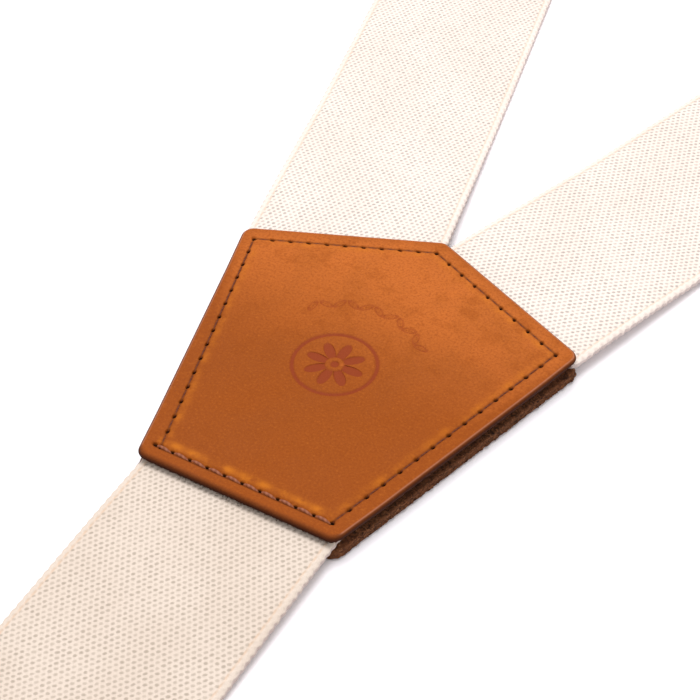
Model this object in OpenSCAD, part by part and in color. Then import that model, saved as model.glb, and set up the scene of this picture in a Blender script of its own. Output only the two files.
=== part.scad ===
// Y-back suspenders: a leather patch joins two front straps and one back strap of elastic webbing.
// Each front strap passes a lever adjuster, turns round the bar of its clip and ends in the adjuster.
// The front straps are folded in three for storage, so run C, with the hardware, is the top layer.
// Origin: middle of the patch on its underside. +Y points to the front straps, +Z is up.

/* [Webbing] */
// Width of the elastic webbing
strap_w = 35; // [30:1:38]
// Thickness of the webbing
strap_t = 1.5; // [1.2:0.1:1.6]
// Turn of the left front strap away from +Y, in degrees
left_splay = 13.2; // [12:0.1:18]
// Turn of the right front strap away from +Y, in degrees
right_splay = 16.3; // [12:0.1:18]
// Distance from the patch's tip to the outer fold of a front strap
outer_fold = 368; // [360:1:420]
// Distance from the patch's tip to the inner fold of a front strap
inner_fold = 110; // [106:1:114]
// Distance from the patch's tip to the bar of a front clip
front_bar = 295; // [293:1:298]
// Distance from the patch's tip to the middle of an adjuster
adjuster_at = 235; // [230:1:238]
// Distance from the patch's lower edge to the bar of the back clip
back_bar = 185; // [150:1:240]

/* [Leather patch] */
// Half width of the patch at its side corners
patch_half_w = 32.6; // [32:0.1:33]
// Half width of the patch at its lower edge
patch_half_base = 18; // [17.8:0.1:19]
// Height of the tip above the origin
patch_tip = 34.6; // [34:0.1:36]
// Height of the side corners above the origin
patch_shoulder = 20.5; // [20:0.1:21]
// Distance of the lower edge below the origin
patch_base = 34; // [33:0.1:36]
// Thickness of the back leather
back_leather_t = 1.6; // [1.6:0.1:1.8]
// Thickness of the front leather
front_leather_t = 1.7; // [1.4:0.1:1.8]
// Distance from the leather's edge to the stitch line
stitch_inset = 3.1; // [2.8:0.1:3.4]
// Length of one stitch and its hole
stitch_pitch = 3.5; // [3.2:0.1:4]

/* [Clip] */
// Radius of the bar that the webbing turns round
bar_r = 1.1; // [1:0.05:1.2]
// Thickness of the stamped plates
plate_t = 0.8; // [0.7:0.1:0.9]
// Distance from the bar to the hinge pin of the clip
clip_pin_u = 25; // [24:0.5:26]
// Height of the hinge pin above the bar
clip_pin_z = 3.6; // [3.5:0.1:3.7]
// Distance from the bar to the tip of the jaw
jaw_end = 42; // [41.5:0.5:43]
// Width of the nylon jaw pads
pad_w = 25; // [20:1:26]

/* [Adjuster] */
// Length of the adjuster along the strap
adjuster_l = 26; // [26:1:28]
// Half width over the adjuster's ears
adjuster_half_w = 20.3; // [20.2:0.1:20.6]

/* [Hidden] */
$fn = 48;

COGNAC = [0.76, 0.42, 0.18];
THREAD = [0.36, 0.19, 0.10];
CREAM = [0.93, 0.86, 0.80];
NICKEL = [0.78, 0.77, 0.74];
NYLON = [0.90, 0.88, 0.84];

eps = 0.01;
half_w = strap_w / 2;
half_t = strap_t / 2;

// Heights of the layers of webbing, each at the middle of its thickness.
layer_gap = 0.5;
patch_z = back_leather_t + half_t;
run_a_z = half_t;
run_b_z = run_a_z + strap_t + layer_gap;
turn_r = bar_r + 0.05 + half_t;
tail_z = run_b_z + half_t + 0.9 + half_t;
front_bar_z = tail_z + turn_r;
run_c_z = front_bar_z + turn_r;
back_bar_z = run_a_z + turn_r;
drop_l = 45;
outer_fold_r = 2.2;
inner_fold_r = (run_c_z - run_b_z) / 2;
sewn_in = 25;
sewn_trim = 2;
split_l = 14;

// Back strap: its turned end lies under it and is sewn to it.
turned_l = 33;
turned_gap = 0.1;
sewn_z = run_a_z + strap_t + turned_gap;

patch_corners = [
    [-patch_half_w, patch_shoulder], [0, patch_tip], [patch_half_w, patch_shoulder],
    [patch_half_base, -patch_base], [-patch_half_base, -patch_base]
];
corner_r = 2.2;
front_leather_z = back_leather_t + strap_t;
patch_top = front_leather_z + front_leather_t;

thread_r = 0.33;
groove_w = 1.0;
groove_d = 0.7;
stitch_leg = 1.2;

slot_half_w = half_w + 0.6;
rail_w = 2.2;
slot_end = turn_r + half_t + 0.8;
clip_body_half = 17.8;
jaw_half = 15.5;
rivet_clear = 0.02;
hinge_clear = 0.05;
side_clear = 0.1;
lever_top = 6.2;
lever_start = 8;
lever_flat_from = 22;
lever_flat_to = 32;
lever_rise = 5.8;
lever_drop = 3.4;
pad_from = 27.5;
pad_to = 40.3;
pad_line = 2.0;
pad_gap = 0.2;
tooth_pitch = 1.6;
tooth_d = 0.5;
coil_r = 1.7;
wire_r = 0.35;

// Adjuster heights count from the middle of the webbing in run C.
tail_drop = run_c_z - tail_z;
adj_plate_top = -tail_drop + half_t + 0.1 + plate_t;
adj_pin_u = -7;
adj_pin_z = 3.2;
adj_pin_r = 1.0;
adj_rib_r = -half_t - 0.1 - adj_plate_top;
crimp_t = 0.5;
crimp_bottom = -tail_drop - half_t - 0.1 - crimp_t;
adj_lever_z = 4.8;
adj_lever_from = -8.6;
adj_lever_to = 13;
cam_r = 0.7;

function unit(v) = v / norm(v);
function turn_to(a) = a > 180 ? a - 360 : a < -180 ? a + 360 : a;
function smooth(k) = k * k * (3 - 2 * k);

// One rounded corner at b, between its neighbours a and c.
function corner(a, b, c, r, steps = 6) =
    let (
        u = unit(a - b),
        v = unit(c - b),
        half = acos(u * v) / 2,
        centre = b + unit(u + v) * r / sin(half),
        first = b + u * r / tan(half) - centre,
        last = b + v * r / tan(half) - centre,
        from = atan2(first.y, first.x),
        sweep = turn_to(atan2(last.y, last.x) - from)
    )
    [for (i = [0:steps]) centre + r * [cos(from + sweep * i / steps), sin(from + sweep * i / steps)]];

// A closed outline with every corner rounded.
function rounded(points, r) =
    let (n = len(points))
    [for (i = [0:n - 1]) each corner(points[(i + n - 1) % n], points[i], points[(i + 1) % n], r)];

// A convex outline moved inwards by d.
function inset(points, d) =
    let (n = len(points))
    [for (i = [0:n - 1])
        let (
            u = unit(points[(i + n - 1) % n] - points[i]),
            v = unit(points[(i + 1) % n] - points[i])
        )
        points[i] + unit(u + v) * d / sin(acos(u * v) / 2)];

function arc(centre, r, from, to, steps = 18) =
    [for (i = [0:steps]) centre + r * [cos(from + (to - from) * i / steps), sin(from + (to - from) * i / steps)]];

// A soft step in height between two points of a strap.
function ease(p, q, steps = 8) =
    [for (i = [0:steps]) [p.x + (q.x - p.x) * i / steps, p.y + (q.y - p.y) * smooth(i / steps)]];

// The outline of a band of thickness t along a path.
function path_normal(path, i) =
    let (
        n = len(path) - 1,
        along = unit(path[min(i + 1, n)] - path[max(i - 1, 0)])
    )
    [-along.y, along.x];
function ribbon(path, t) = concat(
    [for (i = [0:len(path) - 1]) path[i] + path_normal(path, i) * t / 2],
    [for (i = [len(path) - 1:-1:0]) path[i] - path_normal(path, i) * t / 2]
);

// Draws a side profile across the strap: its x runs along +Y and its y along +Z.
module across(w) {
    rotate([90, 0, 90]) translate([0, 0, -w / 2]) linear_extrude(w) children();
}

// A round bar between two points of a side profile.
module rod(p, q, r) {
    translate([0, p.x, p.y])
        rotate([-atan2(q.x - p.x, q.y - p.y), 0, 0])
            cylinder(r = r, h = norm(q - p));
}

module left_place() {
    translate([0, patch_tip, 0]) rotate([0, 0, left_splay]) translate([-half_w, 0, 0]) children();
}

module right_place() {
    translate([0, patch_tip, 0]) rotate([0, 0, -right_splay]) translate([half_w, 0, 0]) children();
}

module back_place() {
    translate([0, -patch_base, 0]) rotate([0, 0, 180]) children();
}

module left_clip_place() {
    left_place() translate([0, front_bar, front_bar_z]) children();
}

module right_clip_place() {
    right_place() translate([0, front_bar, front_bar_z]) children();
}

module back_clip_place() {
    back_place() translate([0, back_bar, back_bar_z]) children();
}

module left_adjuster_place() {
    left_place() translate([0, adjuster_at, run_c_z]) children();
}

module right_adjuster_place() {
    right_place() translate([0, adjuster_at, run_c_z]) children();
}

// ---- leather patch ----

module stitch_groove() {
    difference() {
        polygon(rounded(inset(patch_corners, stitch_inset - groove_w / 2), corner_r));
        polygon(rounded(inset(patch_corners, stitch_inset + groove_w / 2), corner_r / 2));
    }
}

module front_leather() {
    color(COGNAC) difference() {
        translate([0, 0, front_leather_z])
            linear_extrude(front_leather_t) polygon(rounded(patch_corners, corner_r));
        translate([0, 0, patch_top - groove_d]) linear_extrude(groove_d + eps) stitch_groove();
    }
}

module back_leather() {
    color(COGNAC) difference() {
        linear_extrude(back_leather_t) polygon(rounded(patch_corners, corner_r));
        translate([0, 0, -eps]) linear_extrude(groove_d + eps) stitch_groove();
    }
}

// One stitch: the thread lies in the groove and dives into the leather at both ends.
module stitch(length, side) {
    rotate([0, 90, 0]) cylinder(r = thread_r, h = length, center = true, $fn = 16);
    for (x = [-length / 2, length / 2])
        translate([x, 0, side > 0 ? -stitch_leg : 0]) cylinder(r = thread_r, h = stitch_leg, $fn = 16);
}

// The row of stitches along the patch's stitch line; side is 1 for the front and -1 for the back.
module patch_stitches(z, side) {
    line = inset(patch_corners, stitch_inset);
    n = len(line);
    for (i = [0:n - 1]) {
        a = line[i];
        b = line[(i + 1) % n];
        count = round(norm(b - a) / stitch_pitch);
        for (k = [0:count - 1])
            translate([
                a.x + (b.x - a.x) * (k + 0.5) / count,
                a.y + (b.y - a.y) * (k + 0.5) / count,
                z
            ])
                rotate([0, 0, atan2(b.y - a.y, b.x - a.x)])
                    stitch(norm(b - a) / count - 1, side);
    }
}

module front_stitching() {
    color(THREAD) patch_stitches(patch_top - thread_r, 1);
}

module back_stitching() {
    color(THREAD) patch_stitches(thread_r, -1);
}

// ---- webbing ----

// A front strap up to the place where its clip takes it over.
front_path = concat(
    [[-sewn_in, patch_z]],
    ease([0.5, patch_z], [drop_l, run_a_z]),
    arc([outer_fold - outer_fold_r - half_t, run_a_z + outer_fold_r], outer_fold_r, -90, 90),
    ease([outer_fold - 5, run_a_z + 2 * outer_fold_r], [outer_fold - 25, run_b_z]),
    arc([inner_fold + inner_fold_r, run_b_z + inner_fold_r], inner_fold_r, 270, 90),
    [[front_bar - split_l, run_c_z]]
);

module front_strap() {
    across(strap_w) polygon(ribbon(front_path, strap_t));
}

// The part of a front strap that turns round the clip's bar and runs back to the adjuster.
tail_path = concat(
    [[front_bar - split_l + 0.2, run_c_z]],
    arc([front_bar, front_bar_z], turn_r, 90, -90),
    [[adjuster_at - adjuster_l / 2 + crimp_t + 0.3, tail_z]]
);

module strap_tail() {
    across(strap_w) polygon(ribbon(tail_path, strap_t));
}

// Keeps a front strap's sewn end on its own side and inside the patch.
module sewn_end_trim(side) {
    edge = [patch_half_w - patch_half_base, patch_shoulder + patch_base];
    lean = atan2(edge.x, edge.y);
    translate([side > 0 ? -strap_w - 0.1 : -0.1, -strap_w, 0])
        cube([strap_w + 0.2, strap_w + patch_tip, patch_top]);
    translate([side * (patch_half_w - sewn_trim), patch_shoulder, 0])
        rotate([0, 0, -side * lean])
            translate([side > 0 ? 0 : -strap_w, -strap_w, 0])
                cube([strap_w, strap_w, patch_top]);
}

module left_strap() {
    color(CREAM) difference() {
        left_place() front_strap();
        sewn_end_trim(-1);
    }
}

module right_strap() {
    color(CREAM) difference() {
        right_place() front_strap();
        sewn_end_trim(1);
    }
}

module left_strap_tail() {
    color(CREAM) left_place() strap_tail();
}

module right_strap_tail() {
    color(CREAM) right_place() strap_tail();
}

back_path = concat(
    [[-patch_base + 1, patch_z]],
    ease([0.5, patch_z], [drop_l, run_a_z]),
    ease([back_bar - turned_l - 12, run_a_z], [back_bar - turned_l - 2, sewn_z]),
    ease([back_bar - 12, sewn_z], [back_bar - 1, back_bar_z + turn_r]),
    arc([back_bar, back_bar_z], turn_r, 90, -90),
    [[back_bar - turned_l, run_a_z]]
);

module back_strap() {
    color(CREAM) back_place() across(strap_w) polygon(ribbon(back_path, strap_t));
}

// Two rows of stitches hold the turned end of the back strap.
module back_strap_stitching() {
    per_row = 10;
    pitch = (strap_w - 5) / per_row;
    color(CREAM) back_place()
        for (row = [back_bar - turned_l + 3, back_bar - 14], k = [0:per_row - 1])
            translate([(k + 0.5 - per_row / 2) * pitch, row, sewn_z + half_t - thread_r / 2]) {
                rotate([0, 90, 0]) cylinder(r = thread_r, h = pitch - 0.6, center = true, $fn = 16);
                translate([pitch / 2 - 0.3, 0, -sewn_z - 0.5])
                    cylinder(r = thread_r, h = sewn_z + 0.5, $fn = 16);
            }
}

// ---- clip: u runs from the bar to the jaw along +Y, heights count from the bar ----

function lever_z(u) = u < lever_flat_from
    ? lever_top + lever_rise * pow((lever_flat_from - u) / (lever_flat_from - lever_start), 2)
    : u < lever_flat_to ? lever_top
    : lever_top - lever_drop * pow((u - lever_flat_to) / (jaw_end - 0.5 - lever_flat_to), 2);

module clip_frame() {
    outer = slot_half_w + rail_w;
    outline = [
        [-outer, -bar_r], [outer, -bar_r], [outer, 9], [clip_body_half, 15], [clip_body_half, 31],
        [jaw_half, jaw_end], [-jaw_half, jaw_end], [-clip_body_half, 31], [-clip_body_half, 15],
        [-outer, 9]
    ];
    difference() {
        union() {
            translate([0, 0, -plate_t / 2]) linear_extrude(plate_t) difference() {
                polygon(rounded(outline, bar_r - eps));
                translate([-slot_half_w, -3]) square([2 * slot_half_w, 3 + slot_end]);
            }
            rotate([0, 90, 0]) cylinder(r = bar_r, h = 2 * outer - 1, center = true);
            for (side = [-1, 1])
                translate([side * (clip_body_half - plate_t / 2), 0, 0]) across(plate_t) {
                    polygon([
                        [clip_pin_u - 5, 0], [clip_pin_u + 5, 0],
                        [clip_pin_u + 2.6, clip_pin_z], [clip_pin_u - 2.6, clip_pin_z]
                    ]);
                    translate([clip_pin_u, clip_pin_z]) circle(2.6);
                }
            translate([-pad_w / 2, jaw_end - plate_t, -plate_t / 2]) cube([pad_w, plate_t, 1.6]);
        }
        translate([0, clip_pin_u, clip_pin_z]) rotate([0, 90, 0])
            cylinder(r = bar_r + rivet_clear, h = 2 * outer, center = true);
    }
}

module clip_lever() {
    flange_x = clip_body_half - plate_t - side_clear - plate_t / 2;
    edge = flange_x + plate_t / 2;
    outline = [
        [-11, lever_start - 1], [11, lever_start - 1], [11, 13], [edge, 19], [edge, 31],
        [jaw_half - 1, jaw_end], [-jaw_half + 1, jaw_end], [-edge, 31], [-edge, 19], [-11, 13]
    ];
    steps = 34;
    path = [for (i = [0:steps])
        let (u = lever_start + (jaw_end - 0.5 - lever_start) * i / steps)
        [u, lever_z(u)]];
    difference() {
        union() {
            intersection() {
                across(2 * edge) polygon(ribbon(path, plate_t));
                linear_extrude(20) polygon(rounded(outline, 2.4));
            }
            for (side = [-1, 1])
                translate([side * flange_x, 0, 0]) across(plate_t) {
                    polygon([
                        [lever_flat_from, lever_top], [clip_pin_u + 5, lever_top],
                        [clip_pin_u + 2.4, clip_pin_z], [clip_pin_u - 2.4, clip_pin_z]
                    ]);
                    translate([clip_pin_u, clip_pin_z]) circle(2.4);
                }
        }
        translate([0, clip_pin_u, clip_pin_z]) rotate([0, 90, 0])
            cylinder(r = bar_r + hinge_clear, h = 2 * clip_body_half, center = true);
    }
}

// A hinge pin with a low head at each end.
module rivet_pin(r, half_l, head_r) {
    rotate([0, 90, 0]) {
        cylinder(r = r, h = 2 * half_l + 0.2, center = true);
        for (side = [0, 180])
            rotate([side, 0, 0]) translate([0, 0, half_l + 0.03])
                cylinder(r1 = head_r, r2 = head_r * 0.7, h = 0.6);
    }
}

module clip_pin() {
    translate([0, clip_pin_u, clip_pin_z]) rivet_pin(bar_r, clip_body_half, 1.9);
}

// The coil is drawn as the sleeve that its turns fill.
module clip_spring() {
    coil_half = 4;
    pin = [clip_pin_u, clip_pin_z];
    difference() {
        union() {
            translate([-coil_half, pin.x, pin.y]) rotate([0, 90, 0])
                cylinder(r = coil_r + wire_r, h = 2 * coil_half);
            translate([-coil_half + wire_r, 0, 0])
                rod(pin - [0, coil_r], [clip_pin_u - 11, plate_t / 2 + wire_r], wire_r);
            translate([coil_half - wire_r, 0, 0])
                rod(pin + [0, coil_r], [clip_pin_u - 9, lever_top - 0.6], wire_r);
        }
        translate([-coil_half - 1, pin.x, pin.y]) rotate([0, 90, 0])
            cylinder(r = coil_r - wire_r, h = 2 * coil_half + 2);
    }
}

// The saw line of a jaw pad, from the pin side to the tip.
function teeth(z, depth) =
    let (n = floor((pad_to - pad_from) / tooth_pitch))
    [for (i = [0:n - 1]) each [
        [pad_from + i * tooth_pitch, z + depth],
        [pad_from + (i + 0.5) * tooth_pitch, z]
    ]];

module clip_lower_pad() {
    across(pad_w) polygon(concat(
        teeth(pad_line, -tooth_d),
        [[pad_to, pad_line - tooth_d], [pad_to, plate_t / 2], [pad_from, plate_t / 2]]
    ));
}

module clip_upper_pad() {
    steps = 12;
    across(pad_w) polygon(concat(
        teeth(pad_line + pad_gap, tooth_d),
        [for (i = [0:steps])
            let (u = pad_to - (pad_to - pad_from) * i / steps)
            [u, lever_z(u) - plate_t / 2 - 0.08]]
    ));
}

module left_clip_frame() { color(NICKEL) left_clip_place() clip_frame(); }
module left_clip_lever() { color(NICKEL) left_clip_place() clip_lever(); }
module left_clip_pin() { color(NICKEL) left_clip_place() clip_pin(); }
module left_clip_spring() { color(NICKEL) left_clip_place() clip_spring(); }
module left_clip_lower_pad() { color(NYLON) left_clip_place() clip_lower_pad(); }
module left_clip_upper_pad() { color(NYLON) left_clip_place() clip_upper_pad(); }
module right_clip_frame() { color(NICKEL) right_clip_place() clip_frame(); }
module right_clip_lever() { color(NICKEL) right_clip_place() clip_lever(); }
module right_clip_pin() { color(NICKEL) right_clip_place() clip_pin(); }
module right_clip_spring() { color(NICKEL) right_clip_place() clip_spring(); }
module right_clip_lower_pad() { color(NYLON) right_clip_place() clip_lower_pad(); }
module right_clip_upper_pad() { color(NYLON) right_clip_place() clip_upper_pad(); }
module back_clip_frame() { color(NICKEL) back_clip_place() clip_frame(); }
module back_clip_lever() { color(NICKEL) back_clip_place() clip_lever(); }
module back_clip_pin() { color(NICKEL) back_clip_place() clip_pin(); }
module back_clip_spring() { color(NICKEL) back_clip_place() clip_spring(); }
module back_clip_lower_pad() { color(NYLON) back_clip_place() clip_lower_pad(); }
module back_clip_upper_pad() { color(NYLON) back_clip_place() clip_upper_pad(); }

// ---- adjuster: u along +Y, heights count from the middle of the webbing that slides through ----

module adjuster_frame() {
    half_l = adjuster_l / 2;
    ear_x = adjuster_half_w - plate_t / 2;
    outline = [
        [-adjuster_half_w, -half_l], [adjuster_half_w, -half_l],
        [adjuster_half_w, half_l], [-adjuster_half_w, half_l]
    ];
    difference() {
        union() {
            translate([0, 0, adj_plate_top - plate_t])
                linear_extrude(plate_t) polygon(rounded(outline, 2));
            for (u = [adj_pin_u, half_l - 4])
                translate([0, u, adj_plate_top]) across(strap_w) intersection() {
                    circle(adj_rib_r);
                    translate([-adj_rib_r, -plate_t / 2]) square(2 * adj_rib_r);
                }
            for (side = [-1, 1])
                translate([side * ear_x, 0, 0]) across(plate_t) {
                    polygon([
                        [adj_pin_u - 4, adj_plate_top - plate_t / 2],
                        [adj_pin_u + 5, adj_plate_top - plate_t / 2],
                        [adj_pin_u + 2.4, adj_pin_z], [adj_pin_u - 2.4, adj_pin_z]
                    ]);
                    translate([adj_pin_u, adj_pin_z]) circle(2.4);
                }
            translate([-half_w, -half_l, crimp_bottom])
                cube([strap_w, crimp_t, adj_plate_top - crimp_bottom]);
            translate([-half_w, -half_l, crimp_bottom]) cube([strap_w, 9, crimp_t]);
        }
        translate([0, adj_pin_u, adj_pin_z]) rotate([0, 90, 0])
            cylinder(r = adj_pin_r + rivet_clear, h = 2 * adjuster_half_w + 1, center = true);
    }
}

// The lever: a cover plate with a rolled front edge, two flanges and a toothed cam bar under the pin.
module adjuster_lever() {
    flange_x = adjuster_half_w - plate_t - side_clear - plate_t / 2;
    edge = flange_x + plate_t / 2;
    roll_r = 3;
    path = concat(
        [[adj_lever_from, adj_lever_z], [adj_lever_to - roll_r - 8, adj_lever_z + 0.3]],
        arc([adj_lever_to - roll_r, adj_lever_z - roll_r], roll_r, 90, 20, 8)
    );
    outline = [
        [-edge, adj_lever_from], [edge, adj_lever_from],
        [edge, adj_lever_to + 1], [-edge, adj_lever_to + 1]
    ];
    difference() {
        union() {
            intersection() {
                across(2 * edge) polygon(ribbon(path, plate_t));
                linear_extrude(10) polygon(rounded(outline, 1.5));
            }
            for (side = [-1, 1])
                translate([side * flange_x, 0, 0]) across(plate_t) {
                    polygon([
                        [adj_lever_from, adj_lever_z], [adj_pin_u + 9, adj_lever_z],
                        [adj_pin_u + 2, adj_pin_z], [adj_pin_u - 1.6, adj_pin_z]
                    ]);
                    translate([adj_pin_u, adj_pin_z]) circle(1.9);
                }
            translate([0, adj_pin_u, adj_pin_z - 1.6]) rotate([0, 90, 0])
                cylinder(r = cam_r, h = 2 * flange_x, center = true);
        }
        translate([0, adj_pin_u, adj_pin_z]) rotate([0, 90, 0])
            cylinder(r = adj_pin_r + hinge_clear, h = 2 * adjuster_half_w, center = true);
    }
}

module adjuster_pin() {
    translate([0, adj_pin_u, adj_pin_z]) rivet_pin(adj_pin_r, adjuster_half_w, 1.7);
}

module left_adjuster_frame() { color(NICKEL) left_adjuster_place() adjuster_frame(); }
module left_adjuster_lever() { color(NICKEL) left_adjuster_place() adjuster_lever(); }
module left_adjuster_pin() { color(NICKEL) left_adjuster_place() adjuster_pin(); }
module right_adjuster_frame() { color(NICKEL) right_adjuster_place() adjuster_frame(); }
module right_adjuster_lever() { color(NICKEL) right_adjuster_place() adjuster_lever(); }
module right_adjuster_pin() { color(NICKEL) right_adjuster_place() adjuster_pin(); }

front_leather();
back_leather();
front_stitching();
back_stitching();
left_strap();
right_strap();
back_strap();
back_strap_stitching();
left_strap_tail();
right_strap_tail();
left_adjuster_frame();
left_adjuster_lever();
left_adjuster_pin();
right_adjuster_frame();
right_adjuster_lever();
right_adjuster_pin();
left_clip_frame();
left_clip_lever();
left_clip_pin();
left_clip_spring();
left_clip_lower_pad();
left_clip_upper_pad();
right_clip_frame();
right_clip_lever();
right_clip_pin();
right_clip_spring();
right_clip_lower_pad();
right_clip_upper_pad();
back_clip_frame();
back_clip_lever();
back_clip_pin();
back_clip_spring();
back_clip_lower_pad();
back_clip_upper_pad();
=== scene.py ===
from functools import partial
from math import acos, atan2, cos, pi, radians, sin

import bpy
import numpy as np
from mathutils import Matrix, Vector


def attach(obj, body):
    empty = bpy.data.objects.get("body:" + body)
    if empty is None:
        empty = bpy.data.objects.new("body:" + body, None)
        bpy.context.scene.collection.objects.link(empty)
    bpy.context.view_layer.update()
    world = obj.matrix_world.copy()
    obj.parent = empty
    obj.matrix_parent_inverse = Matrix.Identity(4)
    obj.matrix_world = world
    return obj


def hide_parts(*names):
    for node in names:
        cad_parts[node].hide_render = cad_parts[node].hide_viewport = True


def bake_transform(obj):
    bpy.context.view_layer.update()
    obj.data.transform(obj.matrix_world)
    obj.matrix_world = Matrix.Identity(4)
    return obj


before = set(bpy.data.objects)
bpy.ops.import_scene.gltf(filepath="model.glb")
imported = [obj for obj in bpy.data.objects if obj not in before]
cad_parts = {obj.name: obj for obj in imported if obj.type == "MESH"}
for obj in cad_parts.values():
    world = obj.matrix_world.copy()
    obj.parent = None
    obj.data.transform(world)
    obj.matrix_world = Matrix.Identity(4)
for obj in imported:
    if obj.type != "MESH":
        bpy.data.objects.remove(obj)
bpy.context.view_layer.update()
MM = 0.001

# ---- camera ----

CAMERA_AT = Vector((111.6, -189.9, 219.3)) * MM
CAMERA_LOOKS_AT = Vector((-3.2, 6.9, 0.0)) * MM
CAMERA_LENS = 96.94

camera_data = bpy.data.cameras.new("camera")
camera_data.lens = CAMERA_LENS
camera_data.sensor_width = 36.0
camera_data.clip_start = 0.01
camera = bpy.data.objects.new("camera", camera_data)
camera.location = CAMERA_AT
camera.rotation_euler = (CAMERA_LOOKS_AT - CAMERA_AT).to_track_quat("-Z", "Y").to_euler()
bpy.context.scene.collection.objects.link(camera)
bpy.context.scene.camera = camera

# ---- sizes of the object, in millimetres ----

STRAP_W = 35.0
STRAP_T = 1.5
LEFT_SPLAY = 13.2
RIGHT_SPLAY = 16.3
OUTER_FOLD = 368.0
INNER_FOLD = 110.0
FRONT_BAR = 295.0
ADJUSTER_AT = 235.0
ADJUSTER_L = 26.0
BACK_BAR = 185.0
PATCH_TIP = 34.6
PATCH_BASE = 34.0
PATCH_CORNERS = np.array([(-32.6, 20.5), (0, PATCH_TIP), (32.6, 20.5), (18, -PATCH_BASE), (-18, -PATCH_BASE)])
CORNER_R = 2.2
BACK_LEATHER_T = 1.6
FRONT_LEATHER_T = 1.7
STITCH_INSET = 3.1
STITCH_COUNTS = (10, 9, 14, 10, 15)
HALF_T = STRAP_T / 2
PATCH_STRAP_Z = BACK_LEATHER_T + HALF_T
FRONT_LEATHER_Z = BACK_LEATHER_T + STRAP_T
PATCH_TOP = FRONT_LEATHER_Z + FRONT_LEATHER_T
BAR_R = 1.1
TURN_R = BAR_R + 0.05 + HALF_T
RUN_A_Z = HALF_T
RUN_B_Z = RUN_A_Z + STRAP_T + 0.5
TAIL_Z = RUN_B_Z + HALF_T + 0.9 + HALF_T
FRONT_BAR_Z = TAIL_Z + TURN_R
RUN_C_Z = FRONT_BAR_Z + TURN_R
BACK_BAR_Z = RUN_A_Z + TURN_R
OUTER_FOLD_R = 2.2
DROP_L = 45.0
SEWN_IN = 25.0
SEWN_TRIM = 2.0
TURNED_L = 33.0
SEWN_Z = RUN_A_Z + STRAP_T + 0.1

# ---- small helpers ----


def smooth(k):
    k = np.clip(k, 0, 1)
    return k * k * (3 - 2 * k)


def linear(hex_colour):
    """An sRGB hex colour as linear RGBA."""
    parts = [int(hex_colour[i:i + 2], 16) / 255 for i in (1, 3, 5)]
    return (*[p / 12.92 if p <= 0.04045 else ((p + 0.055) / 1.055) ** 2.4 for p in parts], 1.0)


def mesh_object(name, points, faces, uv=None, attributes=None, flat_ends=0):
    """A smooth mesh from points in millimetres; uv has a pair for each point; the last faces may be flat."""
    mesh = bpy.data.meshes.new(name)
    mesh.from_pydata((np.asarray(points, float) * MM).tolist(), [], faces)
    if uv is not None:
        layer = mesh.uv_layers.new(name="weave")
        corner_vertices = np.zeros(len(mesh.loops), int)
        mesh.loops.foreach_get("vertex_index", corner_vertices)
        layer.data.foreach_set("uv", np.asarray(uv, np.float32)[corner_vertices].ravel())
    for key, values in (attributes or {}).items():
        mesh.attributes.new(key, "FLOAT", "POINT").data.foreach_set("value", np.asarray(values, np.float32))
    mesh.polygons.foreach_set("use_smooth", [True] * (len(faces) - flat_ends) + [False] * flat_ends)
    mesh.update()
    made = bpy.data.objects.new(name, mesh)
    bpy.context.scene.collection.objects.link(made)
    return made


def grid_faces(rows, columns, closed_columns, first=0):
    """Quads over a grid of points stored row by row."""
    last = columns if closed_columns else columns - 1
    return [
        (first + r * columns + c, first + r * columns + (c + 1) % columns,
         first + (r + 1) * columns + (c + 1) % columns, first + (r + 1) * columns + c)
        for r in range(rows - 1) for c in range(last)
    ]


# ---- materials ----


def add_node(tree, kind, inputs=None, **settings):
    """Adds a shader node; an input is a value, a node's output, or a node, for its first live output."""
    made = tree.nodes.new("ShaderNode" + kind)
    for key, value in settings.items():
        setattr(made, key, value)
    for key, value in (inputs or {}).items():
        if isinstance(value, bpy.types.Node):
            value = next(out for out in value.outputs if out.enabled)
        if isinstance(value, bpy.types.NodeSocket):
            tree.links.new(value, made.inputs[key])
        else:
            made.inputs[key].default_value = value
    return made


def new_material(name):
    """A material with no nodes yet, and add_node for its tree."""
    material = bpy.data.materials.new(name)
    material.use_nodes = True
    material.node_tree.nodes.clear()
    return material, partial(add_node, material.node_tree)


def cells(size):
    """The scale that gives a pattern's cells this size in millimetres, for a place in metres."""
    return 1 / (size * MM)


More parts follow.
